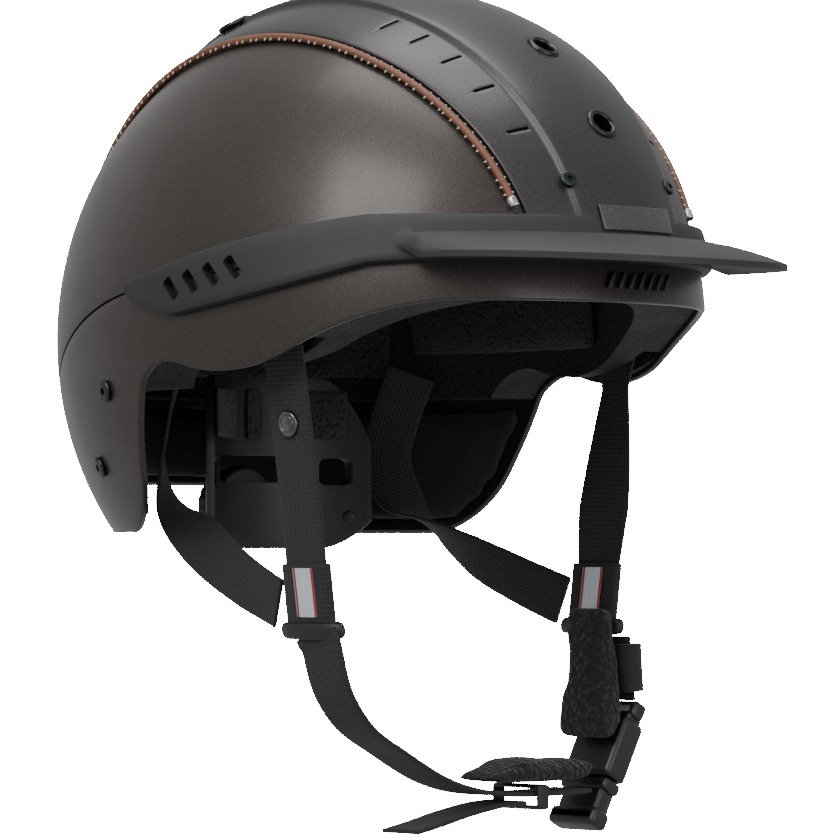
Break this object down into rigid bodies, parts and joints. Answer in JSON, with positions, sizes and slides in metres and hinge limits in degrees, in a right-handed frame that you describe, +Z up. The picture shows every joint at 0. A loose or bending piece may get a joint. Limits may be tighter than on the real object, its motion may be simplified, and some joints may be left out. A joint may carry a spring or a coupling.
{
  "type": "equestrian riding helmet",
  "caption": "Domed riding helmet with a flat curved peak, side bands, crest panel, foam liner, nape cradle and a webbing harness with a side-release chin buckle.",
  "frame": {"origin": "centre of the shell's ellipsoid, inside the head cavity, where the head is held", "axes": "+Z up, -Y forward past the peak, +X to the wearer's left"},
  "size_m": [0.2324, 0.3404, 0.3368],
  "materials": {
    "shell_paint": "satin metallic lacquer over a moulded ABS shell",
    "panel_paint": "satin anthracite lacquer over moulded ABS",
    "foam_liner": "expanded polystyrene foam",
    "soft_lining": "knitted polyester over foam",
    "mesh_lining": "spacer mesh over foam",
    "badge": "blank plate",
    "peak_soft_touch": "soft-touch polypropylene",
    "trim_plastic": "moulded nylon",
    "piping_leather": "stitched tan leather cord",
    "clip_metal": "small end clip",
    "screw_metal": "dark plated screw",
    "webbing": "woven polyester webbing",
    "pin_steel": "steel pin",
    "rivet_metal": "dark plated snap rivet",
    "reflective_tape": "woven reflective tape, plain",
    "eyelet_metal": "dark plated eyelet",
    "cradle_plastic": "moulded nylon",
    "knob_rubber": "ribbed rubber",
    "fleece": "pile fleece over foam",
    "buckle_plastic": "moulded acetal"
  },
  "bodies": {
    "helmet": {"upper_shell": "shell_paint", "lower_shell": "shell_paint", "eps_liner": "foam_liner", "neck_liner": "soft_lining", "crest_panel": "panel_paint", "badge_plate": "badge", "peak": "peak_soft_touch", "vent_grille": "trim_plastic", "piping_right": "piping_leather", "piping_clip_right": "clip_metal", "crest_screw_right": "screw_metal", "shell_screw_right_1": "screw_metal", "shell_screw_right_2": "screw_metal", "side_pad_right": "mesh_lining", "anchor_pin_right": "pin_steel", "piping_left": "piping_leather", "piping_clip_left": "clip_metal", "crest_screw_left": "screw_metal", "shell_screw_left_1": "screw_metal", "shell_screw_left_2": "screw_metal", "side_pad_left": "mesh_lining", "anchor_pin_left": "pin_steel", "eyelet_front_low": "eyelet_metal", "eyelet_front_high": "eyelet_metal", "eyelet_crown": "eyelet_metal", "eyelet_rear_right": "eyelet_metal", "eyelet_rear_left": "eyelet_metal", "brow_pad": "soft_lining", "rear_pad": "mesh_lining", "crown_pad": "soft_lining"},
    "cradle": {"nape_cradle": "cradle_plastic", "cradle_pad": "mesh_lining", "dial_housing": "cradle_plastic"},
    "dial": {"dial_knob": "knob_rubber"},
    "harness": {"front_strap_right": "webbing", "rear_strap_right": "webbing", "strap_rivet_right": "rivet_metal", "divider_tab_right": "webbing", "tape_right": "reflective_tape", "divider_ring_right": "trim_plastic", "front_strap_left": "webbing", "rear_strap_left": "webbing", "strap_rivet_left": "rivet_metal", "divider_tab_left": "webbing", "tape_left": "reflective_tape", "divider_ring_left": "trim_plastic", "chin_strap": "webbing", "chin_strap_tail": "webbing", "drop_strap": "webbing", "chin_pad": "fleece", "jaw_pad": "fleece", "pad_sleeve": "soft_lining", "buckle_socket": "buckle_plastic"},
    "tongue": {"buckle_tongue": "buckle_plastic"},
    "button": {"buckle_button": "buckle_plastic"},
    "keeper": {"strap_keeper": "trim_plastic"}
  },
  "joints": [
    {"name": "cradle_draw", "type": "slide", "parent": "helmet", "child": "cradle", "axis": [0, -1, 0], "range_m": [-0.004, 0.008]},
    {"name": "dial_spin", "type": "hinge", "parent": "cradle", "child": "dial", "pos_m": [0, 0.09, -0.066], "axis": [0, 1, 0], "range_deg": [-92, 182]},
    {"name": "harness_swing", "type": "hinge", "parent": "helmet", "child": "harness", "pos_m": [0, -0.0455, -0.002], "axis": [1, 0, 0], "range_deg": [-10, 12], "deforming": ["rear_strap_right", "rear_strap_left"]},
    {"name": "buckle_release", "type": "slide", "parent": "harness", "child": "tongue", "axis": [-0.4772, 0, -0.8788], "range_m": [0, 0.024], "deforming": ["chin_strap"]},
    {"name": "button_press", "type": "slide", "parent": "harness", "child": "button", "axis": [-0.8788, 0, 0.4772], "range_m": [0, 0.0014], "stiffness_N_per_m": 400},
    {"name": "keeper_slide", "type": "slide", "parent": "harness", "child": "keeper", "axis": [1, 0, 0], "range_m": [-0.008, 0.012]}
  ],
  "couplings": [
    {"joint": "dial_spin", "follows": "cradle_draw", "rad_per_m": 392.7}
  ]
}
